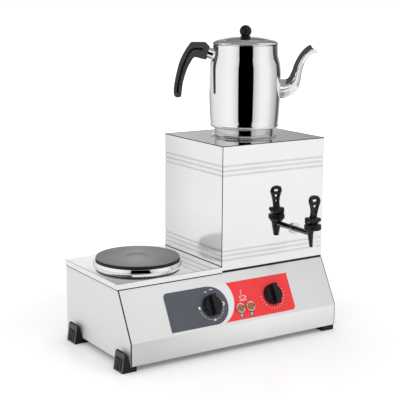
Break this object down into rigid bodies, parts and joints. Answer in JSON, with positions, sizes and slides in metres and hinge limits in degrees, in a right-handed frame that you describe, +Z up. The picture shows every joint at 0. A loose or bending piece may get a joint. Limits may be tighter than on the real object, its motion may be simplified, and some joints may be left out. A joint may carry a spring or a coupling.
{
  "type": "tea urn",
  "caption": "Countertop tea urn with a cast hotplate beside a square hot water tank with tap, controls on the sloping front, and a teapot standing on the tank's steam collar.",
  "frame": {"origin": "middle of the casing's footprint, on the worktop under the feet", "axes": "+Z up, +Y to the back, +X to the right as seen from the front, so the tap and the controls face -Y"},
  "size_m": [0.5386, 0.33, 0.669],
  "materials": {
    "casing_steel": "brushed stainless sheet",
    "inner_steel": "galvanised sheet",
    "screw_steel": "zinc plated",
    "tank_steel": "polished stainless",
    "pot_steel": "mirror polished stainless",
    "chrome_plate": "chrome plated brass",
    "hot_iron": "matt coated casting",
    "heater_sheath": "heating tube sheath",
    "brass_parts": "turned brass",
    "copper_tube": "drawn copper",
    "silicone": "soft seal",
    "black_plastic": "moulded, matt",
    "foot_plastic": "moulded, matt",
    "overlay_print": "printed aluminium sheet",
    "switch_plastic": "moulded",
    "amber_lens": "translucent amber",
    "lens_bezel": "pale plated",
    "gland_plastic": "moulded",
    "terminal_plastic": "moulded"
  },
  "bodies": {
    "base": {"base_plate": "inner_steel", "left_side_panel": "casing_steel", "right_side_panel": "casing_steel", "front_panel": "casing_steel", "rear_panel": "casing_steel", "deck_plate": "casing_steel", "panel_screws": "screw_steel", "foot_front_left": "foot_plastic", "foot_rear_left": "foot_plastic", "feet_right": "foot_plastic", "foot_screws": "screw_steel", "hob_cover": "casing_steel", "hotplate_casting": "hot_iron", "hotplate_rim": "casing_steel", "hotplate_coils": "heater_sheath", "hotplate_base_pan": "inner_steel", "hotplate_fixing": "screw_steel", "hotplate_clamp": "inner_steel", "hotplate_terminals": "terminal_plastic", "tank_shell": "tank_steel", "tank_floor": "tank_steel", "element_nut": "brass_parts", "element_gasket": "silicone", "element_plug": "brass_parts", "immersion_element": "heater_sheath", "bulb_pocket": "tank_steel", "dry_boil_cutout": "switch_plastic", "tap_shank": "brass_parts", "tap_rosette": "chrome_plate", "tap_seal": "silicone", "tap_lock_nut": "brass_parts", "tap_body": "chrome_plate", "tap_bonnet": "black_plastic", "valve_spring": "screw_steel", "control_overlay": "overlay_print", "hob_switch": "switch_plastic", "thermostat_body": "switch_plastic", "thermostat_probe": "copper_tube", "lamp_bezels": "lens_bezel", "lamp_lenses": "amber_lens", "lamp_bodies": "switch_plastic", "cable_gland": "gland_plastic", "terminal_block": "terminal_plastic"},
    "hob_control": {"hob_knob": "black_plastic", "hob_shaft": "screw_steel"},
    "thermostat_control": {"thermostat_knob": "black_plastic", "thermostat_shaft": "screw_steel"},
    "lever": {"tap_lever": "black_plastic", "lever_pin": "screw_steel"},
    "valve": {"valve_stem": "brass_parts", "seat_cup": "silicone"},
    "lid_unit": {"tank_lid": "tank_steel", "steam_collar": "tank_steel"},
    "teapot": {"teapot_body": "pot_steel", "teapot_spout": "pot_steel", "handle_grip": "black_plastic", "handle_bracket": "pot_steel"},
    "pot_lid": {"teapot_lid": "pot_steel", "lid_knob": "black_plastic", "lid_screw": "screw_steel"}
  },
  "joints": [
    {"name": "hob_knob_turn", "type": "hinge", "parent": "base", "child": "hob_control", "pos_m": [-0.056, -0.12054, 0.09969], "axis": [0, 0.8814, -0.4723], "range_deg": [0, 270]},
    {"name": "thermostat_knob_turn", "type": "hinge", "parent": "base", "child": "thermostat_control", "pos_m": [0.101, -0.12054, 0.09969], "axis": [0, 0.8814, -0.4723], "range_deg": [0, 270]},
    {"name": "tap_lever_tilt", "type": "hinge", "parent": "base", "child": "lever", "pos_m": [0.181, -0.154, 0.257], "axis": [1, 0, 0], "range_deg": [0, 30], "stiffness_Nm_per_rad": 0.2, "springref_deg": -11.46},
    {"name": "valve_stem_lift", "type": "slide", "parent": "base", "child": "valve", "axis": [0, 0, 1], "range_m": [0, 0.0041], "deforming": ["valve_spring"]},
    {"name": "tank_lid_lift", "type": "slide", "parent": "base", "child": "lid_unit", "axis": [0, 0, 1], "range_m": [0, 0.06]},
    {"name": "teapot_lift", "type": "slide", "parent": "lid_unit", "child": "teapot", "axis": [0, 0, 1], "range_m": [0, 0.1]},
    {"name": "teapot_lid_lift", "type": "slide", "parent": "teapot", "child": "pot_lid", "axis": [0, 0, 1], "range_m": [0, 0.06]}
  ],
  "couplings": [
    {"joint": "valve_stem_lift", "follows": "tap_lever_tilt", "m_per_rad": 0.00763}
  ]
}
